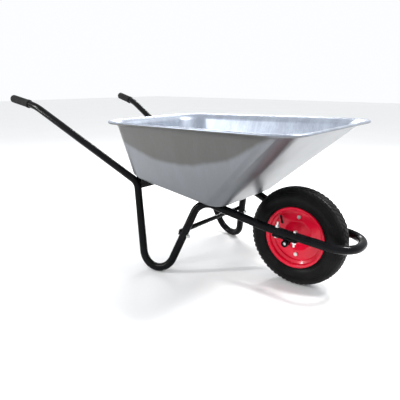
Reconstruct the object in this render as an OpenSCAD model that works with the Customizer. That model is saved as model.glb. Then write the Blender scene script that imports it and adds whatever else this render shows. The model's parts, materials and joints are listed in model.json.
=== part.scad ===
// Single-wheel builder's wheelbarrow, millimetres, +X towards the wheel, +Y to the user's left, +Z up.
// The ground is Z = 0 and the middle of the whole length is X = 0.

/* [Wheel] */
// Outside diameter of the tyre
wheel_d = 360; // [300:1:420]
// Diameter of the round section of the tyre
tyre_section_d = 76; // [60:1:84]
// Thickness of the tyre wall
tyre_wall = 5; // [3:0.5:7]
// Width of the tread band
tread_w = 50; // [40:1:58]
// Outside diameter of the rim flanges
rim_d = 221; // [190:1:232]
// Thickness of the pressed rim sheet
rim_sheet = 2; // [1.5:0.5:3]
// Pitch circle of the bolts that join the two rim halves
rim_bolt_circle = 141; // [124:1:150]
// Number of rim bolts
rim_bolt_count = 4; // [3:1:6]
// Outside diameter of the hub tube
hub_d = 42; // [40:1:50]
// Length of the hub tube
hub_length = 80; // [70:1:96]

/* [Axle and bearings] */
// Diameter of the axle
axle_d = 15; // [12:1:18]
// Outside diameter of the ball bearings
bearing_d = 35; // [32:1:37]
// Width of each ball bearing
bearing_w = 11; // [9:1:14]
// Diameter of a bearing ball
ball_d = 6; // [4:0.5:6]
// Number of balls in each bearing
ball_count = 8; // [6:1:9]

/* [Frame tube] */
// Outside diameter of the frame tube
tube_d = 30; // [25:1:36]
// Wall of the frame tube
tube_wall = 2; // [1.2:0.1:3]
// Distance between the centre lines of the fork tubes beside the wheel
fork_spacing = 174; // [164:1:200]
// Height of the fork tube's centre line above the axle
fork_drop = 31; // [28:1:38]
// Slope of the fork tubes beside the wheel, falling forwards
fork_tilt = 4; // [0:0.5:8]
// Where the fork tubes turn towards the tray, behind the axle
fork_bend_back = 80; // [70:1:100]
// Bend radius of that turn
fork_bend_r = 200; // [120:10:240]
// Distance of the hoop's nose centre line ahead of the axle
nose_ahead = 221; // [205:1:260]

/* [Legs] */
// Distance of the arch under the tray behind the axle
arch_back = 328; // [300:1:360]
// Distance between the two arches
arch_spread = 302; // [270:1:330]
// Height where the lines of the arch meet
arch_h = 288; // [270:1:300]
// Bend radius of the arch
arch_r = 60; // [50:1:75]
// Distance behind the axle of the point where a leg's two straights would meet
foot_back = 461; // [440:1:480]
// Distance between those points, left to right
foot_spread = 602; // [560:2:640]
// Bend radius of the foot
foot_r = 71; // [60:1:80]
// Distance of the rear corner of the frame behind the axle
corner_back = 614; // [590:1:640]
// Distance between the two rear corners
corner_spread = 396; // [370:1:420]
// Height where the lines of the rear corner meet
corner_h = 320; // [300:1:340]
// Bend radius of the rear corner
corner_r = 58; // [50:1:75]
// Height of the leg brace
brace_h = 162; // [130:1:190]
// Diameter of the leg brace
brace_d = 18; // [14:1:22]

/* [Handles] */
// Length of the straight handle, corner to bend
handle_length = 620; // [520:5:760]
// Rise of the handle
handle_rise = 27.1; // [20:0.1:35]
// Splay of the handles, seen from above
handle_splay = 9.9; // [4:0.1:14]
// Bend radius between the handle and its grip end
handle_bend_r = 250; // [150:10:300]
// Length of the grip end of the tube
grip_tube_length = 145; // [130:1:180]
// Rise of the grip end
grip_rise = 11.7; // [5:0.1:20]
// Outside diameter of the rubber grip
grip_d = 35; // [33:0.5:44]
// Length of the rubber grip
grip_length = 112; // [90:1:120]

/* [Tray] */
// Length of the rim, front to back
rim_length = 872; // [740:2:960]
// Width of the rim at the back
rim_rear_w = 549; // [500:1:600]
// Width of the rim at the front
rim_front_w = 687; // [640:1:740]
// Corner radius of the rim at the back
rim_rear_r = 115; // [90:1:140]
// Corner radius of the rim at the front
rim_front_r = 96; // [80:1:130]
// Height of the rim at the back
rim_rear_h = 562; // [520:1:620]
// Rise of the rim towards the front
rim_tilt = 0.95; // [0:0.05:3]
// Distance of the rim's front edge ahead of the axle
rim_ahead = 132; // [100:1:160]
// Width of the flat lip that stands out from the wall
lip_w = 25.5; // [15:0.5:34]
// Diameter of the rolled bead along the lip
bead_d = 10.5; // [8:0.5:14]
// Thickness of the tray sheet
sheet = 1.2; // [1:0.1:2]
// Length of the flat bottom with its rounded edges
floor_length = 482; // [440:1:520]
// Width of the bottom at the back
floor_rear_w = 427; // [400:1:450]
// Width of the bottom at the front
floor_front_w = 399; // [370:1:430]
// Corner radius of the bottom at the back, seen from above
floor_rear_r = 117; // [90:1:140]
// Corner radius of the bottom at the front, seen from above
floor_front_r = 61; // [45:1:80]
// Radius of the edge between bottom and walls
floor_edge_r = 15; // [10:1:30]
// Distance of the bottom's front edge behind the axle
floor_back = 208; // [200:1:230]
// Height of the bottom above the frame's rear corners
floor_lift = 25; // [20:1:40]

/* [Supports and fasteners] */
// Width of the cross supports under the tray
support_w = 30; // [24:1:40]
// Depth of the rear cross support
rear_support_depth = 44; // [30:1:50]
// Depth of the front cross support
front_support_depth = 14; // [10:1:20]
// Sheet of the cross supports
support_sheet = 2.5; // [2:0.5:4]
// Distance between the two tray bolts of the rear support
rear_bolt_gap = 220; // [160:2:260]
// Distance between the two tray bolts of the front support
front_bolt_gap = 170; // [120:2:200]
// Thread diameter of all bolts
bolt_d = 8; // [6:1:10]
// Radial clearance of a bolt in its hole
bolt_clearance = 0.25; // [0.1:0.05:0.5]
// Half the distance between the two bolts of an axle bracket
bracket_bolt_half = 34; // [30:1:45]
// Distance of the middle of an axle bracket behind the axle
bracket_shift = 5; // [0:1:8]

/* [Hidden] */
$fn = 64;

// Finishes
tray_grey = [0.62, 0.64, 0.66];
frame_black = [0.05, 0.05, 0.055];
rubber_black = [0.09, 0.09, 0.09];
rim_red = [0.80, 0.04, 0.08];
zinc = [0.78, 0.79, 0.80];
bearing_steel = [0.70, 0.71, 0.73];

// Small amounts
eps = 0.01;
cut = 1;
running_fit = 0.05;
slip = 0.02;
bend_draw = 0.06;
bend_lap = 1;

// Frame points on the left side, measured from the point on the ground below the axle
wheel_r = wheel_d / 2;
tube_r = tube_d / 2;
tube_bore = tube_d - 2 * tube_wall;
fork_half = fork_spacing / 2;
fork_h = wheel_r + fork_drop;
arch_point = [-arch_back, arch_spread / 2, arch_h];
corner_point = [-corner_back, corner_spread / 2, corner_h];
fork_bend_point = [-fork_bend_back, fork_half, fork_h + fork_bend_back * tan(fork_tilt)];
nose_h = fork_h - nose_ahead * tan(fork_tilt);
nose_corner = [nose_ahead, fork_half, nose_h];

function unit(v) = v / norm(v);
function mirrored(p) = [p.x, -p.y, p.z];
function half_angle(a, b, c) = acos(unit(a - b) * unit(c - b)) / 2;
function tangent_length(a, b, c, r) = r / tan(half_angle(a, b, c));
function bend_centre(a, b, c, r) = b + unit(unit(a - b) + unit(c - b)) * r / sin(half_angle(a, b, c));
function bend_normal(a, b, c) = unit(cross(unit(c - b), unit(a - b)));

// Height of the point where a leg's straights would meet, so that the foot's bend just touches the ground
function foot_point(z) = [-foot_back, foot_spread / 2, z];
function foot_lowest(z) =
    bend_centre(corner_point, foot_point(z), arch_point, foot_r).z
    - foot_r * sqrt(1 - pow(bend_normal(corner_point, foot_point(z), arch_point).z, 2)) - tube_r;
function settled_foot(z, turns) = turns == 0 ? z : settled_foot(z - foot_lowest(z), turns - 1);
foot_z = settled_foot(-2 * foot_r, 40);
foot = foot_point(foot_z);

function direction(rise, splay) = [-cos(rise) * cos(splay), cos(rise) * sin(splay), sin(rise)];
handle_dir = direction(handle_rise, handle_splay);
grip_dir = direction(grip_rise, handle_splay);
handle_bend = corner_point + handle_dir * handle_length;
handle_end = handle_bend + grip_dir * grip_tube_length;

// The side tube ends where it is welded to the hoop, a short straight behind the hoop's turn
weld_run = 8;
fork_turn = tangent_length(arch_point, fork_bend_point, nose_corner, fork_bend_r);
weld_point = fork_bend_point + unit(arch_point - fork_bend_point) * (fork_turn + weld_run);

// Rubber grip: a collar at its open end and a rounded closed end past the tube
grip_cap = 6;
grip_edge = 8;
grip_collar_w = 9;
grip_collar_step = 1.2;
grip_r = grip_d / 2;

// The middle of the whole length
grip_end_centre = handle_end + grip_dir * (grip_cap - grip_edge);
rear_reach = grip_end_centre.x - grip_edge - (grip_r - grip_edge) * sqrt(1 - pow(grip_dir.x, 2));
front_reach = nose_ahead + tube_r;
axle_x = -(rear_reach + front_reach) / 2;

// Tray bottom: its plane lies on the arches and falls towards the front
floor_front_x = -floor_back;
floor_rear_x = floor_front_x - floor_length;
support_gap = 0.3;
arch_centre = bend_centre(foot, arch_point, weld_point, arch_r);
arch_top = [arch_centre.x, arch_centre.y, arch_centre.z + arch_r + tube_r];
floor_slope = atan2(corner_h + floor_lift - arch_top.z, arch_top.x - corner_point.x);
function floor_z(x) = arch_top.z + support_gap - (x - arch_top.x) * tan(floor_slope);

// Rim plane, with the lip a little below the top of the bead
lip_drop = 0.3;
lip_lap = 1.6;
rim_rear_x = rim_ahead - rim_length;
function rim_z(x) = rim_rear_h + (x - rim_rear_x) * tan(rim_tilt);

// Bolts
bolt_hole_d = bolt_d + 2 * bolt_clearance;
hex_flats = 1.625 * bolt_d;
hex_d = hex_flats / cos(30);
head_h = 0.66 * bolt_d;
nut_h = 0.81 * bolt_d;
washer_t = 1.6;
washer_d = 2 * bolt_d;
dome_d = 2.25 * bolt_d;

// Axle group
hub_half = hub_length / 2;
boss_reach = fork_half + 17;
boss_lip = 2;
lug_t = 6;
lug_inner = fork_half - lug_t + 1;
boss_d = axle_d + 9;
axle_half = boss_reach - boss_lip - 0.5;
spacer_wall = 3;

// Rim and tyre section, as radius and distance from the wheel's middle plane
bead_seat_r = rim_d / 2 - 10 + rim_sheet / 2;
flange_arc = 7;
section_r = tyre_section_d / 2;
section_centre = wheel_r - section_r;
tread_depth = 1;
tread_crown_r = 60;
flange_w = 23;
well_r = bead_seat_r - 9;
web_r = rim_bolt_circle / 2 - 13;
collar_r = hub_d / 2 + rim_sheet / 2;
wheel_phase = -1.4;
valve_angle = 136.8;
valve_d = 8;
valve_lean = 39;

module placed() {
    translate([axle_x, 0, 0]) children();
}

module left_and_right() {
    children();
    mirror([0, 1, 0]) children();
}

// A round bar or tube from p to q
module straight_tube(p, q, outer, bore) {
    run = q - p;
    translate(p)
        rotate([0, acos(run.z / norm(run)), atan2(run.y, run.x)])
            difference() {
                cylinder(h = norm(run), d = outer);
                if (bore > 0)
                    translate([0, 0, -cut]) cylinder(h = norm(run) + 2 * cut, d = bore);
            }
}

// A bend of a tube about the Z axis, from the X axis on. Bending draws the wall in a little,
// and the bend's ends run on inside the walls of the straights.
module tube_bend(turn, r, outer, bore) {
    lap = bend_lap / r * 180 / PI;
    rotate([0, 0, -lap])
        rotate_extrude(angle = turn + 2 * lap)
            translate([r, 0])
                difference() {
                    circle(d = outer - 2 * bend_draw);
                    if (bore > 0) circle(d = bore + 2 * bend_draw);
                }
}

// The bend at b of a tube that comes from a and leaves for c
module bent_tube(a, b, c, r, outer, bore) {
    centre = bend_centre(a, b, c, r);
    start = b + unit(a - b) * tangent_length(a, b, c, r);
    out = unit(start - centre);
    normal = bend_normal(a, b, c);
    along = cross(normal, out);
    translate(centre)
        rotate([atan2(along.z, normal.z), -asin(out.z), atan2(out.y, out.x)])
            tube_bend(180 - 2 * half_angle(a, b, c), r, outer, bore);
}

// A tube along corner points, with a bend radius at each inner corner
module tube_run(points, radii, outer, bore) {
    last = len(points) - 1;
    setback = [for (i = [0 : last])
        i == 0 || i == last ? 0 : tangent_length(points[i - 1], points[i], points[i + 1], radii[i])];
    for (i = [0 : last - 1]) {
        way = unit(points[i + 1] - points[i]);
        from = points[i] + way * setback[i];
        to = points[i + 1] - way * setback[i + 1];
        if (norm(to - from) > 2 * eps) straight_tube(from, to, outer, bore);
    }
    for (i = [1 : last - 1])
        bent_tube(points[i - 1], points[i], points[i + 1], radii[i], outer, bore);
}

side_points = [handle_end, handle_bend, corner_point, foot, arch_point, weld_point];
side_radii = [0, handle_bend_r, corner_r, foot_r, arch_r, 0];

// Where the brace is bolted to the front straight of a leg, whose lean its flattened ends follow
brace_plate_t = 4;
brace_plate_h = brace_d + 4;
brace_plate_over = 10;
brace_gap = 0.4;
brace_back = tube_r + brace_plate_t / 2 + brace_gap;
leg_lean = atan2(arch_point.x - foot.x, arch_point.z - foot.z);
brace_joint_h = brace_h - brace_back * sin(leg_lean);
brace_on_leg = foot + (arch_point - foot) * (brace_joint_h - foot.z) / (arch_point.z - foot.z);

module hex(flats_d, h) {
    cylinder(h = h, d = flats_d, $fn = 6);
}

// The frame of that joint: X forwards out of the leg and square to it, Z up along its lean
module on_brace_joint() {
    translate(brace_on_leg) rotate([0, leg_lean, 0]) children();
}

module brace_bolt_holes() {
    on_brace_joint() translate([-2 * tube_d, 0, 0])
        rotate([0, 90, 0]) cylinder(h = 4 * tube_d, d = bolt_hole_d);
}

module side_tube() {
    difference() {
        tube_run(side_points, side_radii, tube_d, tube_bore);
        brace_bolt_holes();
    }
}

module side_tube_left() {
    color(frame_black) placed() side_tube();
}

module side_tube_right() {
    color(frame_black) placed() mirror([0, 1, 0]) side_tube();
}

// The frame of the fork tubes beside the wheel: X along the tube, origin on its centre line above the axle
module on_fork() {
    translate([0, fork_half, fork_h]) rotate([0, fork_tilt, 0]) children();
}

module bracket_bolt_places() {
    for (side = [-1, 1])
        translate([side * bracket_bolt_half - bracket_shift, 0, 0]) children();
}

module front_hoop() {
    hoop_points = [weld_point, fork_bend_point, nose_corner,
        mirrored(nose_corner), mirrored(fork_bend_point), mirrored(weld_point)];
    nose_r = fork_half - tube_d / 5;
    hoop_radii = [0, fork_bend_r, nose_r, nose_r, fork_bend_r, 0];
    color(frame_black) placed()
        difference() {
            tube_run(hoop_points, hoop_radii, tube_d, tube_bore);
            left_and_right() on_fork() bracket_bolt_places()
                translate([0, 0, -tube_d]) cylinder(h = 2 * tube_d, d = bolt_hole_d);
        }
}

// Grip in its own frame: the tube end at the origin, the closed end along +Z
module grip_shape() {
    difference() {
        union() {
            translate([0, 0, grip_cap - grip_length]) cylinder(h = grip_length - grip_edge, r = grip_r);
            translate([0, 0, grip_cap - grip_edge]) cylinder(h = grip_edge, r = grip_r - grip_edge);
            translate([0, 0, grip_cap - grip_edge])
                rotate_extrude()
                    intersection() {
                        translate([grip_r - grip_edge, 0]) circle(r = grip_edge);
                        square([grip_r, grip_edge]);
                    }
            translate([0, 0, grip_cap - grip_length])
                cylinder(h = grip_collar_w, r = grip_r + grip_collar_step);
        }
        translate([0, 0, grip_cap - grip_length - cut])
            cylinder(h = grip_length + cut - grip_cap, d = tube_d);
    }
}

module grip() {
    translate(handle_end)
        rotate([0, acos(grip_dir.z), atan2(grip_dir.y, grip_dir.x)]) grip_shape();
}

module grip_left() {
    color(rubber_black) placed() grip();
}

module grip_right() {
    color(rubber_black) placed() mirror([0, 1, 0]) grip();
}

// The frame of the tray bottom's underside at a distance x from the axle, Z square to the sheet
module on_floor(x) {
    translate([x, 0, floor_z(x)]) rotate([0, floor_slope, 0]) children();
}

rear_support_x = corner_point.x + 12;
front_support_x = arch_top.x;

module support_channel(depth, half_length) {
    difference() {
        translate([-support_w / 2, -half_length, -depth - eps]) cube([support_w, 2 * half_length, depth]);
        translate([support_sheet - support_w / 2, -half_length - cut, -depth - cut])
            cube([support_w - 2 * support_sheet, 2 * half_length + 2 * cut, depth - support_sheet + cut]);
    }
}

module frame_envelope() {
    left_and_right() tube_run(side_points, side_radii, tube_d, 0);
}

module support(x, depth, half_length, gap) {
    difference() {
        on_floor(x) support_channel(depth, half_length);
        frame_envelope();
        left_and_right()
            on_floor(x) translate([0, gap / 2, -depth]) cylinder(h = 2 * depth, d = bolt_hole_d);
    }
}

module rear_cross_support() {
    color(frame_black) placed()
        support(rear_support_x, rear_support_depth, corner_spread / 2, rear_bolt_gap);
}

module front_cross_support() {
    color(frame_black) placed()
        support(front_support_x, front_support_depth, arch_top.y, front_bolt_gap);
}

module leg_brace() {
    plate_reach = brace_on_leg.y + brace_plate_over;
    round_half = brace_on_leg.y - tube_d;
    color(frame_black) placed()
        difference() {
            translate([brace_on_leg.x, 0, brace_joint_h]) rotate([0, leg_lean, 0])
                translate([-brace_back, 0, 0]) {
                    translate([0, round_half, 0]) rotate([90, 0, 0]) cylinder(h = 2 * round_half, d = brace_d);
                    left_and_right()
                        translate([-brace_plate_t / 2, round_half - brace_d, -brace_plate_h / 2])
                            cube([brace_plate_t, plate_reach - round_half + brace_d, brace_plate_h]);
                }
            left_and_right() brace_bolt_holes();
        }
}

brace_bolt_reach = tube_r + 1.5;

module brace_bolts() {
    head_back = brace_back + brace_plate_t / 2;
    color(zinc) placed() left_and_right()
        on_brace_joint() rotate([0, 90, 0]) translate([0, 0, -head_back]) {
            translate([0, 0, -head_h]) hex(hex_d, head_h);
            cylinder(h = head_back + brace_bolt_reach + nut_h + 4, d = bolt_d);
        }
}

module brace_nuts() {
    color(zinc) placed() left_and_right()
        on_brace_joint() rotate([0, 90, 0]) translate([0, 0, brace_bolt_reach])
            difference() {
                hex(hex_d, nut_h);
                translate([0, 0, -cut]) cylinder(h = nut_h + 2 * cut, d = bolt_d);
            }
}

// Outline of the rim or of a line a little inside it, in the rim's own frame
function side_angle() = atan2((rim_front_w - rim_rear_w) / 2, rim_length);
function corner_centre(x, r, inset) =
    [x, rim_rear_w / 2 + x * tan(side_angle()) - (r + inset) / cos(side_angle())];
function corner_arc(centre, r, from, to, steps) =
    [for (i = [0 : steps]) centre + r * [cos(from + (to - from) * i / steps), sin(from + (to - from) * i / steps)]];
function rim_half(inset, rear_r, front_r, steps) = concat(
    corner_arc(corner_centre(rim_length - inset - front_r, front_r, inset), front_r,
        0, 90 + side_angle(), steps),
    corner_arc(corner_centre(inset + rear_r, rear_r, inset), rear_r, 90 + side_angle(), 180, steps));
function reversed(list) = [for (i = [len(list) - 1 : -1 : 0]) list[i]];
function flipped(list) = [for (p = list) [p.x, -p.y]];
function rim_outline(inset, steps = 8) =
    let (half = rim_half(inset, rim_rear_r - inset * 0.7, rim_front_r - inset * 0.7, steps))
        concat(half, flipped(reversed(half)));

module on_rim() {
    translate([rim_rear_x, 0, rim_rear_h]) rotate([0, -rim_tilt, 0]) children();
}

// One corner of the bottom, its edge rounded all round
module floor_corner(x, y, r, wall) {
    on_floor(x)
        translate([0, y, floor_edge_r])
            rotate_extrude($fn = 48)
                translate([r - floor_edge_r, 0]) circle(r = floor_edge_r - wall, $fn = 24);
}

module tray_hull(wall) {
    hull() {
        on_rim() translate([0, 0, -sheet - lip_drop])
            linear_extrude(wall > 0 ? 2 * sheet : sheet)
                polygon(rim_outline(bead_d / 2 + lip_w + wall));
        left_and_right() {
            floor_corner(floor_rear_x + floor_rear_r, floor_rear_w / 2 - floor_rear_r, floor_rear_r, wall);
            floor_corner(floor_front_x - floor_front_r, floor_front_w / 2 - floor_front_r, floor_front_r, wall);
        }
    }
}

// The rolled bead: straights and corner arcs along the edge of the lip
module rim_bead() {
    inset = bead_d / 2;
    rear_r = rim_rear_r - inset;
    front_r = rim_front_r - inset;
    rear_c = corner_centre(inset + rear_r, rear_r, inset);
    front_c = corner_centre(rim_length - inset - front_r, front_r, inset);
    turn = 90 + side_angle();
    rear_side = rear_c + rear_r * [cos(turn), sin(turn)];
    front_side = front_c + front_r * [cos(turn), sin(turn)];
    bore = bead_d - 2 * sheet;
    translate([0, 0, -bead_d / 2]) {
        left_and_right() {
            straight_tube([rear_side.x, rear_side.y, 0], [front_side.x, front_side.y, 0], bead_d, bore);
            translate([front_c.x, front_c.y, 0]) tube_bend(turn, front_r, bead_d, bore);
            translate([rear_c.x, rear_c.y, 0]) rotate([0, 0, turn])
                tube_bend(180 - turn, rear_r, bead_d, bore);
        }
        straight_tube([rim_length - inset, -front_c.y, 0], [rim_length - inset, front_c.y, 0], bead_d, bore);
        straight_tube([inset, -rear_c.y, 0], [inset, rear_c.y, 0], bead_d, bore);
    }
}

module tray_bolt_places() {
    left_and_right() {
        on_floor(rear_support_x) translate([0, rear_bolt_gap / 2, 0]) children();
        on_floor(front_support_x) translate([0, front_bolt_gap / 2, 0]) children();
    }
}

module tray() {
    color(tray_grey) placed()
        union() {
            difference() {
                tray_hull(0);
                tray_hull(sheet);
                tray_bolt_places() translate([0, 0, -cut]) cylinder(h = sheet + 2 * cut, d = bolt_hole_d);
            }
            on_rim() {
                translate([0, 0, -sheet - lip_drop])
                    linear_extrude(sheet)
                        difference() {
                            polygon(rim_outline(bead_d / 2 + lip_lap));
                            polygon(rim_outline(bead_d / 2 + lip_w + sheet / 2));
                        }
                rim_bead();
            }
        }
}

module tray_bolts() {
    stem = sheet + support_sheet + washer_t + nut_h + 5;
    color(zinc) placed() tray_bolt_places() {
        translate([0, 0, sheet + 0.05])
            intersection() {
                translate([0, 0, -dome_d * 0.55]) sphere(d = dome_d * 1.6);
                cylinder(h = bolt_d, d = dome_d);
            }
        translate([0, 0, sheet + cut - stem]) cylinder(h = stem, d = bolt_d);
    }
}

module ring(outer, bore, h) {
    difference() {
        cylinder(h = h, d = outer);
        translate([0, 0, -cut]) cylinder(h = h + 2 * cut, d = bore);
    }
}

module hex_nut() {
    difference() {
        hex(hex_d, nut_h);
        translate([0, 0, -cut]) cylinder(h = nut_h + 2 * cut, d = bolt_d);
    }
}

module tray_washers() {
    color(zinc) placed() tray_bolt_places()
        translate([0, 0, -support_sheet - washer_t - 2 * eps]) ring(washer_d, bolt_hole_d, washer_t);
}

module tray_nuts() {
    color(zinc) placed() tray_bolt_places()
        translate([0, 0, -support_sheet - washer_t - nut_h - 3 * eps]) hex_nut();
}

// Axle bracket: a saddle under the fork tube, a hanging lug, and a boss that caps the axle's end
saddle_t = 4;
saddle_grip = 3;
saddle_length = 2 * bracket_bolt_half + 22;
saddle_w = tube_d - 7;

module axle_bracket() {
    difference() {
        union() {
            on_fork()
                translate([-saddle_length / 2 - bracket_shift, -saddle_w / 2, -tube_r - saddle_t])
                    cube([saddle_length, saddle_w, saddle_t + saddle_grip]);
            translate([0, lug_inner, 0])
                hanging_lug();
            translate([0, boss_reach, wheel_r])
                rotate([90, 0, 0]) cylinder(h = boss_reach - lug_inner, d = boss_d);
        }
        on_fork() translate([-saddle_length, 0, 0])
            rotate([0, 90, 0]) cylinder(h = 2 * saddle_length, d = tube_d);
        on_fork() bracket_bolt_places()
            translate([0, 0, -tube_d]) cylinder(h = 2 * tube_d, d = bolt_hole_d);
        translate([0, boss_reach - boss_lip, wheel_r])
            rotate([90, 0, 0]) cylinder(h = boss_reach, d = axle_d + 2 * slip);
        translate([0, boss_reach + cut, wheel_r])
            rotate([90, 0, 0]) cylinder(h = boss_reach, d = axle_d - 4);
    }
}

module hanging_lug() {
    top_half = bracket_bolt_half - hex_d / 2 - 1;
    rise = fork_drop - tube_r - saddle_t / 2;
    translate([0, lug_t, wheel_r])
        rotate([90, 0, 0])
            linear_extrude(lug_t)
                union() {
                    circle(d = boss_d);
                    polygon([[-boss_d / 2, 0], [boss_d / 2, 0], [top_half - bracket_shift, rise],
                        [-boss_d / 2 - bracket_shift, rise]]);
                }
}

module axle_bracket_left() {
    color(frame_black) placed() axle_bracket();
}

module axle_bracket_right() {
    color(frame_black) placed() mirror([0, 1, 0]) axle_bracket();
}

// The rear bolt points up and the front bolt points down
bracket_stud = 11;
bracket_grip = tube_d + saddle_t;

module bracket_fastener_frames() {
    left_and_right() on_fork() {
        translate([-bracket_bolt_half - bracket_shift, 0, -tube_r - saddle_t]) children();
        translate([bracket_bolt_half - bracket_shift, 0, tube_r]) rotate([180, 0, 0]) children();
    }
}

module bracket_bolts() {
    color(zinc) placed() bracket_fastener_frames() {
        translate([0, 0, -head_h - eps]) hex(hex_d, head_h);
        translate([0, 0, -eps]) cylinder(h = bracket_grip + washer_t + nut_h + bracket_stud, d = bolt_d);
    }
}

module bracket_washers() {
    color(zinc) placed() bracket_fastener_frames()
        translate([0, 0, bracket_grip + eps]) ring(washer_d, bolt_hole_d, washer_t);
}

module bracket_nuts() {
    color(zinc) placed() bracket_fastener_frames()
        translate([0, 0, bracket_grip + washer_t + 2 * eps]) hex_nut();
}

// The wheel's frame: origin at its centre, Z along the axle towards the right side
module on_axle() {
    placed() translate([0, 0, wheel_r]) rotate([90, 0, 0]) children();
}

module both_ends() {
    children();
    mirror([0, 0, 1]) children();
}

module axle() {
    color(zinc) on_axle()
        translate([0, 0, -axle_half]) cylinder(h = 2 * axle_half, d = axle_d);
}

module axle_spacers() {
    color(zinc) on_axle() both_ends()
        translate([0, 0, hub_half + 0.5])
            ring(axle_d + 2 * spacer_wall, axle_d + 2 * slip, lug_inner - hub_half - 0.5 - running_fit);
}

ball_pitch_r = (bearing_d + axle_d) / 4;
race_gap = ball_d * 0.32;
bearing_start = hub_half - bearing_w;

module ball_groove() {
    rotate_extrude() translate([ball_pitch_r, 0]) circle(d = ball_d + 2 * running_fit, $fn = 32);
}

module bearing_inner_rings() {
    color(bearing_steel) on_axle() both_ends()
        translate([0, 0, bearing_start])
            difference() {
                ring(2 * (ball_pitch_r - race_gap), axle_d + 2 * slip, bearing_w + 0.5 - slip);
                translate([0, 0, bearing_w / 2]) ball_groove();
            }
}

module bearing_outer_rings() {
    color(bearing_steel) on_axle() both_ends()
        translate([0, 0, bearing_start])
            difference() {
                ring(bearing_d, 2 * (ball_pitch_r + race_gap), bearing_w);
                translate([0, 0, bearing_w / 2]) ball_groove();
            }
}

module bearing_balls() {
    color(bearing_steel) on_axle() both_ends()
        translate([0, 0, hub_half - bearing_w / 2])
            for (i = [0 : ball_count - 1])
                rotate([0, 0, i * 360 / ball_count])
                    translate([ball_pitch_r, 0, 0]) sphere(d = ball_d, $fn = 32);
}

module bearing_shields() {
    color(bearing_steel) on_axle() both_ends()
        translate([0, 0, hub_half - 1.2])
            ring(2 * (ball_pitch_r + race_gap) - 2 * slip, 2 * (ball_pitch_r - race_gap) + 1, 0.8);
}

module hub_tube() {
    shoulder_bore = bearing_d - 5;
    color(rim_red) on_axle()
        difference() {
            translate([0, 0, -hub_half]) cylinder(h = hub_length, d = hub_d);
            translate([0, 0, -hub_length]) cylinder(h = 2 * hub_length, d = shoulder_bore);
            both_ends()
                translate([0, 0, bearing_start]) cylinder(h = bearing_w + cut, d = bearing_d + 2 * slip);
        }
}

// The rim's pressed sheet: its middle line as [radius, distance out], from the flange tip to the hub
function arc_points(centre, r, from, to, steps) =
    [for (i = [0 : steps]) centre + r * [cos(from + (to - from) * i / steps), sin(from + (to - from) * i / steps)]];
half_sheet = rim_sheet / 2;
rim_line = concat(
    [[rim_d / 2 - half_sheet, flange_w + flange_arc + 2.6]],
    arc_points([bead_seat_r + flange_arc, flange_w], flange_arc, 75, 180, 7),
    [[bead_seat_r, 15], [well_r, 9]],
    arc_points([well_r - 6, half_sheet + 6], 6, 0, -90, 3),
    arc_points([web_r, half_sheet + 10], 10, -90, -140, 3),
    [[collar_r + 6, hub_half - 12], [collar_r, hub_half - 6], [collar_r, hub_half - 2]]
);

// A band of even thickness along a line of points
function line_normal(a, b) = let (d = unit(b - a)) [-d.y, d.x];
function corner_offset(line, i, t) =
    i == 0 ? line_normal(line[0], line[1]) * t
    : i == len(line) - 1 ? line_normal(line[i - 1], line[i]) * t
    : let (m = line_normal(line[i - 1], line[i]), n = line_normal(line[i], line[i + 1]), s = unit(m + n))
        s * t / (s * m);
function band(line, thickness) = concat(
    [for (i = [0 : len(line) - 1]) line[i] + corner_offset(line, i, thickness / 2)],
    [for (i = [len(line) - 1 : -1 : 0]) line[i] - corner_offset(line, i, thickness / 2)]);

module rim_bolt_places() {
    for (i = [0 : rim_bolt_count - 1])
        rotate([0, 0, wheel_phase + i * 360 / rim_bolt_count])
            translate([rim_bolt_circle / 2, 0, 0]) children();
}

module rim_half_shape() {
    difference() {
        rotate_extrude($fn = 96) polygon(band(rim_line, rim_sheet));
        rim_bolt_places() translate([0, 0, -cut]) cylinder(h = rim_sheet + 2 * cut, d = bolt_hole_d);
    }
}

// The valve's own frame: its open end as the origin, Z back along the stem towards the inner tube
valve_end_r = rim_d / 2 - 44;
valve_end_w = flange_w + 7;
valve_cap_l = 8;
tube_section_r = section_r - tyre_wall - 0.4;
valve_length = (section_centre - 0.8 * tube_section_r - valve_end_r) / cos(valve_lean);

module on_valve() {
    rotate([0, 0, valve_angle])
        translate([valve_end_r, 0, valve_end_w])
            rotate([0, 90 + valve_lean, 0]) children();
}

module rim_right() {
    color(rim_red) on_axle()
        difference() {
            rim_half_shape();
            on_valve() cylinder(h = valve_length, d = valve_d + 0.2);
        }
}

module rim_left() {
    color(rim_red) on_axle() mirror([0, 0, 1]) rim_half_shape();
}

module rim_bolts() {
    reach = 2 * rim_sheet + nut_h + 4;
    color(zinc) on_axle() rim_bolt_places() {
        translate([0, 0, rim_sheet + eps]) hex(hex_d, head_h);
        translate([0, 0, rim_sheet + cut - reach]) cylinder(h = reach, d = bolt_d);
    }
}

module rim_nuts() {
    color(zinc) on_axle() rim_bolt_places()
        translate([0, 0, -rim_sheet - nut_h - eps]) hex_nut();
}

module tyre_section() {
    bead_r = flange_arc - half_sheet - 0.3;
    difference() {
        union() {
            translate([section_centre, 0]) circle(r = section_r - tread_depth);
            intersection() {
                translate([wheel_r - tread_crown_r, 0]) circle(r = tread_crown_r, $fn = 96);
                translate([section_centre, -tread_w / 2]) square([2 * section_r, tread_w]);
            }
        }
        translate([section_centre, 0]) circle(r = section_r - tyre_wall);
        translate([0, -flange_w + 4]) square([section_centre - section_r / 2, 2 * flange_w - 8]);
    }
    for (side = [-1, 1])
        translate([bead_seat_r + flange_arc, side * flange_w]) circle(r = bead_r, $fn = 32);
}

module tyre() {
    color(rubber_black) on_axle() rotate_extrude($fn = 96) tyre_section();
}

module inner_tube() {
    color(rubber_black) on_axle()
        rotate_extrude($fn = 96) translate([section_centre, 0])
            difference() {
                circle(r = tube_section_r);
                circle(r = tube_section_r - 2);
            }
}

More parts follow.
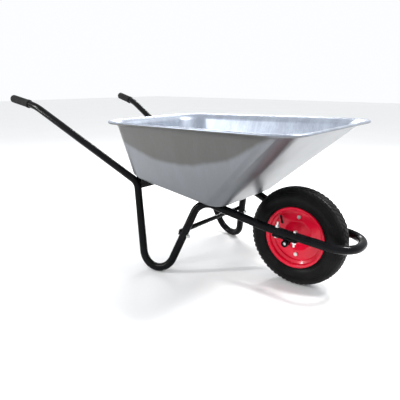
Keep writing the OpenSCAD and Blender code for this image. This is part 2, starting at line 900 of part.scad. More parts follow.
module valve_stem() {
    color(rubber_black) on_axle()
        difference() {
            on_valve() translate([0, 0, valve_cap_l]) cylinder(h = valve_length - valve_cap_l, d = valve_d);
            rotate_extrude($fn = 96) translate([section_centre, 0]) circle(r = tube_section_r + slip);
        }
}

module valve_cap() {
    color(rubber_black) on_axle() on_valve() cylinder(h = valve_cap_l - eps, d = valve_d + 1);
}

tray();
side_tube_left();
side_tube_right();
front_hoop();
grip_left();
grip_right();
rear_cross_support();
front_cross_support();
leg_brace();
brace_bolts();
brace_nuts();
tray_bolts();
tray_washers();
tray_nuts();
axle_bracket_left();
axle_bracket_right();
bracket_bolts();
bracket_washers();
bracket_nuts();
axle();
axle_spacers();
bearing_inner_rings();
bearing_outer_rings();
bearing_balls();
bearing_shields();
hub_tube();
rim_left();
rim_right();
rim_bolts();
rim_nuts();
tyre();
inner_tube();
valve_stem();
valve_cap();
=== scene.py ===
"""Looks of a wheelbarrow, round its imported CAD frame.

Models the pressed tray, the treaded tyre, the grips and the hoop's welds, then the finishes and the studio.
"""

import json
import logging
from dataclasses import dataclass, field
from enum import Enum
from math import atan2, cos, hypot, pi, radians, sin, sqrt, tan
from typing import Any, Callable, Optional, Union

import bpy
from mathutils import Matrix, Vector

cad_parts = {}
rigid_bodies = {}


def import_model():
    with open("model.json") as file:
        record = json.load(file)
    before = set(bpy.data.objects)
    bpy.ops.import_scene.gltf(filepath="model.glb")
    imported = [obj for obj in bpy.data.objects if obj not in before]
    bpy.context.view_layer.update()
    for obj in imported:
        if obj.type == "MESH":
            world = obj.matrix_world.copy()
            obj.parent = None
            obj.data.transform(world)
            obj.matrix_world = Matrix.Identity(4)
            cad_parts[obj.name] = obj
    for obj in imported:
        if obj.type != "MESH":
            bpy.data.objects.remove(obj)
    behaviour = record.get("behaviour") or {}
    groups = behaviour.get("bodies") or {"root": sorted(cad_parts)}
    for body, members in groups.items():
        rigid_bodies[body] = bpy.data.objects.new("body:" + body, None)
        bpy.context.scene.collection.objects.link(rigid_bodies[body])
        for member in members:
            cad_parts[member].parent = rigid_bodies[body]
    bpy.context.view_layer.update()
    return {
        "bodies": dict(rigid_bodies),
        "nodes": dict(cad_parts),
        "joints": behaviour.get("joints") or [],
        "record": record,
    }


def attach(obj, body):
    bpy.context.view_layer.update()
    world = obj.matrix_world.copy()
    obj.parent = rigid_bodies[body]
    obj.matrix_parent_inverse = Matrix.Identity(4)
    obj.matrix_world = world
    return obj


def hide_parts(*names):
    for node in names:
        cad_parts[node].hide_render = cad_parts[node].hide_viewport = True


LOG = logging.getLogger("wheelbarrow")
MM = 0.001
AXLE = Vector((0.53508, 0.0, 0.18))
HOOP_WELD = Vector((AXLE.x - 0.117586, 0.096700, 0.227416))
ARCH_TURN = Vector((AXLE.x - 0.328, 0.151, 0.288))
FRAME_TUBE_R = 15 * MM
Triple = tuple[float, float, float]
Colour = Triple


class Body(Enum):
    """The two moving bodies of the part."""

    FRAME = "frame"
    WHEEL = "wheel"


class Side(Enum):
    """Left and right of the barrow, as the sign of Y."""

    LEFT = 1.0
    RIGHT = -1.0


# ---------------------------------------------------------------- shader writing


class Wire:
    """One output socket of a shader node, with arithmetic that adds Math nodes."""

    def __init__(self, graph: "Graph", socket: bpy.types.NodeSocket) -> None:
        """Args: graph the socket's graph, socket the output it wraps."""
        self.graph = graph
        self.socket = socket

    def _maths(self, kind: str, first: Any, second: Any) -> "Wire":
        """One Math node. Args: kind its operation, first and second its inputs. Returns: its output."""
        return self.graph.node("ShaderNodeMath", {"operation": kind}, {0: first, 1: second})

    def __add__(self, other: Any) -> "Wire":
        """Sum."""
        return self._maths("ADD", self, other)

    __radd__ = __add__

    def __sub__(self, other: Any) -> "Wire":
        """Difference."""
        return self._maths("SUBTRACT", self, other)

    def __mul__(self, other: Any) -> "Wire":
        """Product."""
        return self._maths("MULTIPLY", self, other)

    __rmul__ = __mul__

    def band(self, low: float, high: float, start: float = 0.0, end: float = 1.0) -> "Wire":
        """A smooth step.

        Args:
            low, high: the values between which it rises.
            start, end: what it gives below low and above high.
        Returns:
            The stepped value.
        """
        return self.graph.node(
            "ShaderNodeMapRange", {"interpolation_type": "SMOOTHSTEP"},
            {"Value": self, "From Min": low, "From Max": high, "To Min": start, "To Max": end})


class Graph:
    """The node graph of one material."""

    def __init__(self, name: str) -> None:
        """Args: name the material's name."""
        self.material = bpy.data.materials.new(name)
        self.material.use_nodes = True
        self.tree = self.material.node_tree
        self.tree.nodes.clear()
        self._object: Optional[Wire] = None

    def node(self, kind: str, settings: dict[str, Any], values: dict[Union[str, int], Any],
             out: Union[str, int] = 0) -> Wire:
        """Adds one node.

        Args:
            kind: its type.
            settings: its properties, set before its sockets.
            values: a number, colour or Wire for each socket, by name or index.
            out: the output to give back.
        Returns:
            That output.
        """
        made = self.tree.nodes.new(kind)
        for key, value in settings.items():
            setattr(made, key, value)
        for key, value in values.items():
            socket = made.inputs[key]
            if isinstance(value, Wire):
                self.tree.links.new(value.socket, socket)
            elif isinstance(value, tuple) and len(value) == 3 and socket.type == "RGBA":
                socket.default_value = (*value, 1.0)
            else:
                socket.default_value = value
        return Wire(self, made.outputs[out])

    def place(self, scale: Triple = (1.0, 1.0, 1.0), shift: Triple = (0.0, 0.0, 0.0)) -> Wire:
        """Object coordinates. Args: scale and shift of the Mapping node. Returns: the vector."""
        if self._object is None:
            self._object = self.node("ShaderNodeTexCoord", {}, {}, "Object")
        return self.node("ShaderNodeMapping", {}, {"Vector": self._object, "Scale": scale, "Location": shift})

    def noise(self, vector: Wire, scale: float, detail: float = 3.0, rough: float = 0.5) -> Wire:
        """Args: vector, scale, detail and roughness of a Noise Texture. Returns: its value."""
        return self.node("ShaderNodeTexNoise", {},
                         {"Vector": vector, "Scale": scale, "Detail": detail, "Roughness": rough})

    def cells(self, vector: Wire, scale: float) -> Wire:
        """Args: vector and scale of a Voronoi Texture. Returns: its distance."""
        return self.node("ShaderNodeTexVoronoi", {}, {"Vector": vector, "Scale": scale})

    def mix(self, factor: Any, first: Any, second: Any) -> Wire:
        """Args: factor and the two colours of a Mix node. Returns: its colour."""
        return self.node("ShaderNodeMix", {"data_type": "RGBA"}, {0: factor, 6: first, 7: second}, 2)

    def normal_part(self, axis: str) -> Wire:
        """Args: axis X, Y or Z. Returns: that part of the surface's normal."""
        normal = self.node("ShaderNodeNewGeometry", {}, {}, "Normal")
        return self.node("ShaderNodeSeparateXYZ", {}, {"Vector": normal}, axis)

    def place_part(self, axis: str) -> Wire:
        """Args: axis X, Y or Z. Returns: that part of the object coordinates."""
        return self.node("ShaderNodeSeparateXYZ", {}, {"Vector": self.place()}, axis)

    def bump(self, height: Wire, distance: float, strength: float = 1.0) -> Wire:
        """Args: height, distance in metres and strength of a Bump node. Returns: the normal."""
        return self.node("ShaderNodeBump", {},
                         {"Height": height, "Distance": distance, "Strength": strength})

    def surface(self, **values: Any) -> bpy.types.Material:
        """The Principled shader and the output.

        Args:
            values: its sockets, with _ for a space.
        Returns:
            The finished material.
        """
        named = {key.replace("_", " "): value for key, value in values.items()}
        shader = self.node("ShaderNodeBsdfPrincipled", {}, named)
        self.node_output(shader)
        return self.material

    def node_output(self, shader: Wire) -> None:
        """Args: shader the shader to show."""
        end = self.tree.nodes.new("ShaderNodeOutputMaterial")
        self.tree.links.new(shader.socket, end.inputs["Surface"])


# ---------------------------------------------------------------- finishes


@dataclass(frozen=True)
class GalvanisedSheet:
    """Hot-dip galvanised pressed steel, with faint spangle and drawing streaks; faces turned down are painted
    darker than faces turned up, as painted shade.

    Outside, a band below the rim is painted darker as a painted reflection of the surroundings. Its lower
    edge is lowest at band_x, at the height band_z, and rises from there with the square of the distance, by
    band_rise.
    """

    bright: Colour = (0.35, 0.39, 0.46)
    streak: Colour = (0.245, 0.272, 0.325)
    outer: Colour = (0.180, 0.188, 0.198)
    painted_reflection: Colour = (0.092, 0.092, 0.087)
    band_x: float = 0.17
    band_z: float = 0.430
    band_rise: float = 0.8
    metallic: float = 0.72

    def make(self, name: str = "galvanised_pressing") -> bpy.types.Material:
        """Args: name the material's name. Returns: the material."""
        g = Graph(name)
        fine = g.noise(g.place((190.0, 190.0, 7.0)), 1.0, 4.0, 0.6)
        broad = g.noise(g.place((26.0, 26.0, 1.6), (3.0, 1.0, 0.0)), 1.0, 2.0)
        spangle = g.cells(g.place(), 160.0)
        cloud = g.noise(g.place(), 7.0, 3.0)
        streaks = fine * 0.45 + broad * 0.55
        tone = streaks.band(0.34, 0.68) * 0.85 + spangle * 0.2
        inside = g.mix(tone, self.streak, self.bright)
        # Painted reflection: a dark band on the outside below the rim, with a curved lower edge and faint
        # streaks.
        along = g.place_part("X") - self.band_x
        edge = along * along * self.band_rise + self.band_z + (cloud - 0.5) * 0.03
        painted_reflection = (g.place_part("Z") - edge).band(-0.008, 0.012)
        shade = g.mix(streaks.band(0.2, 0.8) * 0.16, self.painted_reflection, self.outer)
        outside = g.mix(painted_reflection, g.mix(tone * 0.25, self.outer, self.streak), shade)
        # Painted shade: faces turned down (the outside) take the darker outer colours, and faces turned up
        # (the inside and the lip) take the brighter ones.
        painted_light_by_facing = g.normal_part("Z").band(-0.02, 0.10)
        colour = g.mix(painted_light_by_facing, outside, inside)
        rough = 0.27 + 0.12 * cloud + 0.08 * streaks
        height = fine * 0.3 + broad * 0.3 + spangle * 0.1
        return g.surface(Base_Color=colour, Metallic=self.metallic, Roughness=rough,
                         Normal=g.bump(height, 0.0005, 0.3))


@dataclass(frozen=True)
class GlossEnamel:
    """Stoved enamel over steel: slight orange peel, a shade that drifts, and specks of dust."""

    colour: Colour
    shade: Colour
    roughness: float = 0.16
    peel: float = 0.00025
    gloss: float = 0.05
    shine: float = 0.06
    dust: Colour = (0.30, 0.29, 0.28)

    def make(self, name: str) -> bpy.types.Material:
        """Args: name the material's name. Returns: the material."""
        g = Graph(name)
        peel = g.noise(g.place(), 260.0, 2.0)
        drift = g.noise(g.place(), 14.0, 4.0, 0.6)
        specks = g.cells(g.place(), 420.0).band(0.05, 0.12, 1.0, 0.0)
        base = g.mix(drift.band(0.35, 0.7), self.colour, self.shade)
        base = g.mix(specks * 0.10, base, self.dust)
        rough = self.roughness + 0.10 * drift + 0.10 * specks
        return g.surface(Base_Color=base, Roughness=rough, Coat_Weight=self.gloss, Coat_Roughness=0.05,
                         Specular_IOR_Level=self.shine,
                         Normal=g.bump(peel * 0.7 + drift * 0.3, self.peel, 0.5))


@dataclass(frozen=True)
class MouldedRubber:
    """Moulded rubber: matte grain, paler in drifting patches."""

    colour: Colour = (0.012, 0.012, 0.012)
    pale: Colour = (0.026, 0.026, 0.026)
    roughness: float = 0.48
    grain: float = 0.0005
    shine: float = 0.05

    def make(self, name: str) -> bpy.types.Material:
        """Args: name the material's name. Returns: the material."""
        g = Graph(name)
        grain = g.cells(g.place(), 700.0)
        drift = g.noise(g.place(), 30.0, 4.0)
        base = g.mix((drift * 0.7 + grain * 0.4).band(0.3, 0.8), self.colour, self.pale)
        rough = self.roughness + 0.15 * drift
        return g.surface(Base_Color=base, Roughness=rough, Specular_IOR_Level=self.shine,
                         Normal=g.bump(grain + drift * 0.5, self.grain, 0.45))


@dataclass(frozen=True)
class TyreRubber:
    """New tyre rubber: fine mould lines round the sidewall, and a little dust on the tread."""

    colour: Colour = (0.004, 0.004, 0.004)
    pale: Colour = (0.012, 0.012, 0.012)
    dust: Colour = (0.060, 0.059, 0.057)
    shine: float = 0.07
    lines: float = 2400.0

    def make(self, name: str = "tyre_compound") -> bpy.types.Material:
        """Args: name the material's name. Returns: the material."""
        g = Graph(name)
        centred = g.place((1.0, 0.0, 1.0), (-AXLE.x, 0.0, -AXLE.z))
        radius = g.node("ShaderNodeVectorMath", {"operation": "LENGTH"}, {0: centred}, "Value")
        ridges = g.node("ShaderNodeMath", {"operation": "SINE"}, {0: radius * self.lines})
        grain = g.noise(g.place(), 500.0, 2.0)
        drift = g.noise(g.place(), 18.0, 4.0, 0.6)
        dusty = radius.band(0.168, 0.176) * drift.band(0.35, 0.75)
        base = g.mix((drift * 0.6 + grain * 0.3).band(0.3, 0.75), self.colour, self.pale)
        base = g.mix(dusty * 0.25, base, self.dust)
        rough = 0.25 + 0.14 * drift + 0.20 * dusty
        height = ridges * 0.10 + grain * 0.5 + drift * 0.4
        return g.surface(Base_Color=base, Roughness=rough, Specular_IOR_Level=self.shine,
                         Normal=g.bump(height, 0.0005, 0.5))


@dataclass(frozen=True)
class ZincPlate:
    """Bright zinc plating with a faint straw cast and fine scratches."""

    colour: Colour = (0.66, 0.68, 0.70)
    cast: Colour = (0.60, 0.57, 0.50)
    metallic: float = 1.0

    def make(self, name: str) -> bpy.types.Material:
        """Args: name the material's name. Returns: the material."""
        g = Graph(name)
        cloud = g.noise(g.place(), 120.0, 3.0)
        scratch = g.noise(g.place((900.0, 900.0, 120.0)), 1.0, 2.0)
        base = g.mix(cloud.band(0.4, 0.7), self.colour, self.cast)
        return g.surface(Base_Color=base, Metallic=self.metallic, Roughness=0.22 + 0.16 * scratch,
                         Normal=g.bump(scratch * 0.6 + cloud * 0.4, 0.0002, 0.4))


# ---------------------------------------------------------------- modelling by operators


class Bench:
    """A work bench: the operator calls that every piece is shaped with."""

    @staticmethod
    def clear() -> None:
        """Leaves edit mode and deselects everything."""
        if bpy.context.object is not None and bpy.context.object.mode != "OBJECT":
            bpy.ops.object.mode_set(mode="OBJECT")
        bpy.ops.object.select_all(action="DESELECT")

    @staticmethod
    def start(name: str) -> bpy.types.Object:
        """A fresh mesh object in edit mode, emptied. Args: name its name. Returns: the object."""
        Bench.clear()
        bpy.ops.mesh.primitive_plane_add(size=1.0, location=(0.0, 0.0, 0.0))
        made = bpy.context.object
        made.name = name
        made.data.name = name
        bpy.ops.object.mode_set(mode="EDIT")
        bpy.ops.mesh.select_all(action="SELECT")
        bpy.ops.mesh.delete(type="VERT")
        return made

    @staticmethod
    def open(piece: bpy.types.Object) -> None:
        """Args: piece the object to go on editing, with nothing selected."""
        Bench.clear()
        bpy.context.view_layer.objects.active = piece
        piece.select_set(True)
        bpy.ops.object.mode_set(mode="EDIT")
        bpy.ops.mesh.select_all(action="DESELECT")

    @staticmethod
    def pick(kind: str, test: Callable[[Vector], bool], within: bool = False) -> int:
        """Selects by place, in edit mode.

        Args:
            kind: VERT, EDGE or FACE.
            test: tells from an element's middle whether it is wanted.
            within: keep only those that are selected already.
        Returns:
            How many are selected.
        """
        piece = bpy.context.object
        bpy.ops.mesh.select_mode(type=kind)
        bpy.ops.object.mode_set(mode="OBJECT")
        mesh = piece.data
        points = mesh.vertices
        rows = {"VERT": mesh.vertices, "EDGE": mesh.edges, "FACE": mesh.polygons}[kind]
        held = [row.select for row in rows]
        for group in (mesh.vertices, mesh.edges, mesh.polygons):
            group.foreach_set("select", [False] * len(group))
        count = 0
        for row, was in zip(rows, held):
            if kind == "VERT":
                middle = row.co
            elif kind == "EDGE":
                middle = (points[row.vertices[0]].co + points[row.vertices[1]].co) / 2
            else:
                middle = row.center
            if (was or not within) and test(middle):
                row.select = True
                count += 1
        bpy.ops.object.mode_set(mode="EDIT")
        return count

    @staticmethod
    def join(pieces: list[bpy.types.Object], name: str) -> bpy.types.Object:
        """Args: pieces to join, name of the result. Returns: the joined object."""
        Bench.clear()
        for piece in pieces:
            piece.select_set(True)
        bpy.context.view_layer.objects.active = pieces[0]
        bpy.ops.object.join()
        made = bpy.context.object
        made.name = name
        made.data.name = name
        return made

    @staticmethod
    def modify(piece: bpy.types.Object, kind: str, **settings: Any) -> None:
        """Adds a modifier and applies it. Args: piece, kind of modifier, settings of it."""
        Bench.clear()
        bpy.context.view_layer.objects.active = piece
        piece.select_set(True)
        step = piece.modifiers.new(kind.title(), kind)
        for key, value in settings.items():
            setattr(step, key, value)
        bpy.ops.object.modifier_apply(modifier=step.name)

    @staticmethod
    def settle(piece: bpy.types.Object, crease: float = 30.0) -> None:
        """Puts a piece's place into its mesh and shades it. Args: piece, crease the angle kept sharp."""
        Bench.clear()
        bpy.context.view_layer.objects.active = piece
        piece.select_set(True)
        bpy.ops.object.transform_apply(location=True, rotation=True, scale=True)
        bpy.ops.object.shade_smooth_by_angle(angle=radians(crease))
        Bench.clear()

    @staticmethod
    def heal(piece: bpy.types.Object, distance: float = 0.00002) -> None:
        """Merges doubles and turns the faces outwards. Args: piece, distance of the merge."""
        Bench.open(piece)
        bpy.ops.mesh.select_all(action="SELECT")
        bpy.ops.mesh.remove_doubles(threshold=distance)
        bpy.ops.mesh.normals_make_consistent(inside=False)
        bpy.ops.object.mode_set(mode="OBJECT")


@dataclass
class Piece:
    """A finished piece and what is said about it."""

    made: bpy.types.Object
    body: Body
    slot: str
    replaces: tuple[str, ...] = ()

    def declare(self, finish: bpy.types.Material) -> None:
        """Dresses the piece and ties it to the CAD frame. Args: finish its material."""
        self.made.data.materials.clear()
        self.made.data.materials.append(finish)
        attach(self.made, self.body.value)
        if self.replaces:
            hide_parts(*self.replaces)
        LOG.info("piece %s: %d faces on %s", self.made.name, len(self.made.data.polygons), self.body.value)


# ---------------------------------------------------------------- the tray


@dataclass
class Ring:
    """One rounded outline of the tray, in a plane that is level across and may slope along X."""

    rear_x: float
    front_x: float
    rear_z: float
    front_z: float
    rear_half: float
    front_half: float
    rear_r: float
    front_r: float

    def draw(self, steps: int, face: bool = False) -> None:
        """Adds the outline to the mesh in edit mode.

        Args:
            steps: segments of each corner.
            face: keep the face inside the outline.
        """
        length = hypot(self.front_x - self.rear_x, self.front_z - self.rear_z)
        middle = Vector(((self.rear_x + self.front_x) / 2, 0.0, (self.rear_z + self.front_z) / 2))
        slope = atan2(self.rear_z - self.front_z, self.front_x - self.rear_x)
        bpy.ops.mesh.select_all(action="DESELECT")
        bpy.ops.mesh.primitive_plane_add(size=length, location=middle, rotation=(0.0, slope, 0.0))
        bpy.ops.mesh.hide(unselected=True)
        lean = atan2(self.front_half - self.rear_half, length)
        for half, radius, turn, ahead in (
                (self.rear_half, self.rear_r, pi / 2 + lean, False),
                (self.front_half, self.front_r, pi / 2 - lean, True)):
            self._pick_end(middle.x, ahead)
            bpy.ops.transform.resize(value=(1.0, 2 * half / length, 1.0), center_override=(0.0, 0.0, 0.0))
            self._pick_end(middle.x, ahead)
            bpy.ops.mesh.bevel(offset=radius / tan(turn / 2), offset_type="OFFSET", segments=steps,
                               profile=0.5, affect="VERTICES", clamp_overlap=False)
        bpy.ops.mesh.select_all(action="SELECT")
        if not face:
            bpy.ops.mesh.delete(type="ONLY_FACE")
            bpy.ops.mesh.select_all(action="SELECT")
        bpy.ops.mesh.reveal(select=True)

    @staticmethod
    def _pick_end(middle_x: float, ahead: bool) -> None:
        """Selects the shown vertices of one end. Args: middle_x the plane's middle, ahead the front end."""
        piece = bpy.context.object
        bpy.ops.mesh.select_mode(type="VERT")
        bpy.ops.mesh.select_all(action="DESELECT")
        bpy.ops.object.mode_set(mode="OBJECT")
        for vertex in piece.data.vertices:
            vertex.select = not vertex.hide and (vertex.co.x > middle_x) == ahead
        bpy.ops.object.mode_set(mode="EDIT")


@dataclass
class Tray:
    """The pressed tray: bottom, walls, lip and rolled bead in one sheet."""

    sheet: float = 1.2 * MM
    bead_r: float = 5.25 * MM
    lip_w: float = 25.5 * MM
    rim_length: float = 872 * MM
    rim_rear_x: float = AXLE.x - 740 * MM
    rim_rear_z: float = 562 * MM
    rim_tilt: float = radians(0.95)
    rim_rear_half: float = 274.5 * MM
    rim_front_half: float = 342.0 * MM
    rim_rear_r: float = 115 * MM
    rim_front_r: float = 96 * MM
    floor_rear_x: float = AXLE.x - 690 * MM
    floor_front_x: float = AXLE.x - 208 * MM
    floor_rear_half: float = 213.5 * MM
    floor_front_half: float = 199.5 * MM
    floor_rear_r: float = 117 * MM
    floor_front_r: float = 61 * MM
    floor_slope: float = radians(9.2319)
    floor_at: Vector = field(default_factory=lambda: Vector((AXLE.x - 288.527 * MM, 0.0, 292.4 * MM)))
    edge_bevel: float = 10.5 * MM
    lip_bevel: float = 21 * MM
    lip_fall: float = 8 * MM
    lip_set_down: float = 0.3 * MM
    curl_turn: float = radians(300)
    fold_angle: float = radians(36)
    fold_margin: float = 5 * MM
    corner_share: float = 0.7
    floor_in: float = 1.5 * MM
    floor_front_in: float = 7.5 * MM
    bevel_steps: int = 6
    corner_steps: int = 14
    curl_steps: int = 9

    def _floor_ring(self) -> Ring:
        """Returns: the line where bottom and walls would meet without their rounding."""
        rear_x = self.floor_rear_x + self.floor_in
        front_x = self.floor_front_x - self.floor_front_in
        middle = self.sheet / 2

        def height(x: float) -> float:
            """Returns: the sheet's middle at x."""
            return self.floor_at.z - (x - self.floor_at.x) * tan(self.floor_slope) + middle

        return Ring(rear_x, front_x, height(rear_x), height(front_x),
                    self.floor_rear_half - self.floor_in, self.floor_front_half - self.floor_in,
                    self.floor_rear_r - self.floor_in, self.floor_front_r - self.floor_in)

    def _rim_ring(self, inset: float, drop: float) -> Ring:
        """An outline parallel to the rim. Args: inset inwards, drop below its top. Returns: the ring."""
        lean = atan2(self.rim_front_half - self.rim_rear_half, self.rim_length)
        along = Vector((cos(self.rim_tilt), 0.0, sin(self.rim_tilt)))
        down = Vector((sin(self.rim_tilt), 0.0, -cos(self.rim_tilt)))
        start = Vector((self.rim_rear_x, 0.0, self.rim_rear_z)) + down * drop
        rear = start + along * inset
        front = start + along * (self.rim_length - inset)
        side = inset / cos(lean)
        return Ring(rear.x, front.x, rear.z, front.z,
                    self.rim_rear_half - side + inset * tan(lean),
                    self.rim_front_half - side - inset * tan(lean),
                    self.rim_rear_r - self.corner_share * inset, self.rim_front_r - self.corner_share * inset)

    def _rings(self) -> list[Ring]:
        """Returns: the outlines from the bottom's edge up the wall, across the lip and round the bead."""
        half = self.sheet / 2
        curl_r = self.bead_r - half
        top = half + self.lip_set_down
        rings = [self._floor_ring(),
                 self._rim_ring(self.bead_r + self.lip_w + half, top + self.lip_fall),
                 self._rim_ring(self.bead_r + 2.5 * MM, top)]
        for i in range(self.curl_steps + 1):
            angle = self.curl_turn * i / self.curl_steps
            rings.append(self._rim_ring(self.bead_r - curl_r * sin(angle), self.bead_r - curl_r * cos(angle)))
        return rings

    def build(self) -> Piece:
        """Bands between outlines, merged, bevelled and thickened. Returns: the tray."""
        rings = self._rings()
        bands = []
        for i, (low, high) in enumerate(zip(rings[:-1], rings[1:])):
            band = Bench.start(f"tray_band_{i}")
            low.draw(self.corner_steps)
            high.draw(self.corner_steps)
            bpy.ops.mesh.select_all(action="SELECT")
            bpy.ops.mesh.bridge_edge_loops()
            bpy.ops.object.mode_set(mode="OBJECT")
            bands.append(band)
        bottom = Bench.start("tray_bottom")
        rings[0].draw(self.corner_steps, face=True)
        bpy.ops.object.mode_set(mode="OBJECT")
        pan = Bench.join([bottom, *bands[:2]], "tray_pan")
        Bench.heal(pan)
        Bench.open(pan)
        bpy.ops.mesh.select_mode(type="EDGE")
        bpy.ops.mesh.edges_select_sharp(sharpness=self.fold_angle)
        fold_z = rings[0].rear_z + self.fold_margin
        Bench.pick("EDGE", lambda m: m.z < fold_z, within=True)
        bpy.ops.mesh.bevel(offset=self.edge_bevel, segments=self.bevel_steps, profile=0.5, affect="EDGES",
                           clamp_overlap=False)
        bpy.ops.mesh.select_all(action="DESELECT")
        bpy.ops.mesh.edges_select_sharp(sharpness=self.fold_angle)
        Bench.pick("EDGE", lambda m: m.z > fold_z, within=True)
        bpy.ops.mesh.bevel(offset=self.lip_bevel, segments=self.bevel_steps, profile=0.5, affect="EDGES",
                           clamp_overlap=False)
        bpy.ops.object.mode_set(mode="OBJECT")
        tray = Bench.join([pan, *bands[2:]], "pressed_tray")
        Bench.heal(tray)
        self._orient(tray)
        Bench.modify(tray, "SOLIDIFY", thickness=self.sheet, offset=0.0, use_even_offset=True)
        Bench.settle(tray, 40.0)
        return Piece(tray, Body.FRAME, "galvanised_sheet", ("tray",))

    @staticmethod
    def _orient(tray: bpy.types.Object) -> None:
        """Turns the open sheet's faces so that the bottom faces down. Args: tray the sheet."""
        faces = tray.data.polygons
        lowest = min(faces, key=lambda face: face.center.z)
        if lowest.normal.z > 0:
            Bench.open(tray)
            bpy.ops.mesh.select_all(action="SELECT")
            bpy.ops.mesh.flip_normals()
            bpy.ops.object.mode_set(mode="OBJECT")


# ---------------------------------------------------------------- the wheel


@dataclass
class Tyre:
    """The tyre: a spun casing with ribbed shoulders and moulded tread blocks."""

    outer_r: float = 180 * MM
    casing_r: float = 37 * MM
    centre_r: float = 142 * MM
    crown_r: float = 60 * MM
    bead_r: float = 108.5 * MM
    bead_half: float = 23 * MM
    section_steps: int = 72
    turn_steps: int = 120
    pitch_count: int = 60
    crown_lifts: tuple[Triple, ...] = (
        (0.0, 8 * MM, -0.4 * MM), (8 * MM, 13 * MM, 0.2 * MM), (13 * MM, 17 * MM, 0.9 * MM),
        (17 * MM, 21 * MM, 1.6 * MM), (21 * MM, 25 * MM, 1.9 * MM), (25 * MM, 29 * MM, 1.0 * MM))

    def _casing(self) -> bpy.types.Object:
        """Returns: the closed casing without its tread."""
        casing = Bench.start("tyre_casing")
        centre = AXLE + Vector((0.0, 0.0, self.centre_r))
        bpy.ops.mesh.primitive_circle_add(vertices=self.section_steps, radius=self.casing_r,
                                          location=centre, rotation=(0.0, pi / 2, 0.0))
        low = AXLE.z + self.centre_r - 27 * MM
        Bench.pick("VERT", lambda p: p.z < low)
        bpy.ops.mesh.delete(type="VERT")
        for near, far, lift in self.crown_lifts:
            Bench.pick("VERT", lambda p: p.z > centre.z and near <= abs(p.y) < far)
            bpy.ops.transform.translate(value=(0.0, 0.0, lift))
        for side in Side:
            end = side.value
            Bench.pick("VERT", lambda p: p.y * end > 0 and p.z < low + 2.0 * MM)
            for out, up in ((0.6, -3.6), (0.0, -3.4), (-2.4, -2.6), (-4.0, 0.4)):
                bpy.ops.mesh.extrude_region_move(
                    TRANSFORM_OT_translate={"value": (0.0, out * end * MM, up * MM)})
        bpy.ops.mesh.select_all(action="SELECT")
        bpy.ops.mesh.spin(steps=self.turn_steps, angle=2 * pi, center=AXLE, axis=(0.0, 1.0, 0.0))
        bpy.ops.object.mode_set(mode="OBJECT")
        Bench.heal(casing, 0.0001)
        return casing

    def _radius(self, point: Vector) -> float:
        """Returns: the distance of a point from the axle's line."""
        return hypot(point.x - AXLE.x, point.z - AXLE.z)

    def _section_angle(self, point: Vector) -> float:
        """Returns: the angle of a point round the section, in degrees from the crown outwards."""
        return abs(atan2(abs(point.y), self._radius(point) - self.centre_r)) * 180 / pi

    def _ribs(self, casing: bpy.types.Object) -> None:
        """Grooves and ribs round the shoulders and the beads. Args: casing the tyre's casing."""
        Bench.open(casing)
        for start, end, depth in ((50.0, 54.0, -0.9), (59.0, 63.5, -0.9), (68.5, 73.0, -0.7),
                                  (118.0, 123.0, 0.8), (129.0, 134.0, 0.8)):
            Bench.pick("FACE", lambda p: start < self._section_angle(p) < end)
            bpy.ops.mesh.inset(thickness=0.45 * MM, depth=0.0)
            bpy.ops.transform.shrink_fatten(value=depth * MM)
        bpy.ops.object.mode_set(mode="OBJECT")

    def _block(self, name: str, size: Triple, y: float, turn: float, slant: float) -> bpy.types.Object:
        """One tread block, its sides drafted and its edges rounded.

        Args:
            name: its name.
            size: along, across and deep, in metres.
            y: its middle across the tread.
            turn: how far round the tyre it sits, in radians.
            slant: its turn about the radius, in radians.
        Returns:
            The block in place.
        """
        Bench.clear()
        bpy.ops.mesh.primitive_cube_add(size=1.0)
        block = bpy.context.object
        block.name = name
        bpy.ops.object.mode_set(mode="EDIT")
        bpy.ops.mesh.select_all(action="SELECT")
        bpy.ops.transform.resize(value=size)
        Bench.pick("FACE", lambda p: p.z > 0.4 * size[2])
        bpy.ops.transform.resize(value=(0.80, 0.86, 1.0))
        bpy.ops.mesh.inset(thickness=0.5 * MM, depth=0.25 * MM)
        Bench.pick("FACE", lambda p: p.z < -0.4 * size[2])
        bpy.ops.mesh.delete(type="ONLY_FACE")
        bpy.ops.object.mode_set(mode="OBJECT")
        hang = sqrt(self.crown_r ** 2 - y ** 2) - self.crown_r
        lean = atan2(y, self.crown_r)
        stand = Matrix.Translation(AXLE) @ Matrix.Rotation(turn, 4, "Y")
        seat = Matrix.Translation((0.0, y, self.outer_r + hang - size[2] / 2 - 0.3 * MM))
        block.matrix_world = stand @ seat @ Matrix.Rotation(-lean, 4, "X") @ Matrix.Rotation(slant, 4, "Z")
        bpy.context.view_layer.update()
        block.select_set(True)
        bpy.context.view_layer.objects.active = block
        bpy.ops.object.transform_apply(location=True, rotation=True, scale=True)
        return block

    def _tread(self) -> bpy.types.Object:
        """Returns: all the tread blocks, one pitch modelled and copied round."""
        pitch = 2 * pi / self.pitch_count
        arc = pitch * self.outer_r
        pitch_blocks = [self._block("tread_middle", (0.86 * arc, 7.0 * MM, 2.6 * MM), 0.0, 0.0, radians(32))]
        for side in Side:
            sign = side.value
            pitch_blocks += [
                self._block("tread_inner", (0.74 * arc, 8.0 * MM, 2.6 * MM), sign * 9.5 * MM, pitch * 0.5,
                            radians(-24) * sign),
                self._block("tread_outer", (0.70 * arc, 8.5 * MM, 2.8 * MM), sign * 18.8 * MM, 0.0,
                            radians(12) * sign),
            ]
        tread = Bench.join(pitch_blocks, "tread")
        Bench.open(tread)
        bpy.ops.mesh.select_all(action="SELECT")
        bpy.ops.mesh.spin(steps=self.pitch_count - 1, dupli=True, angle=2 * pi - pitch,
                          center=AXLE, axis=(0.0, 1.0, 0.0))
        bpy.ops.object.mode_set(mode="OBJECT")
        return tread

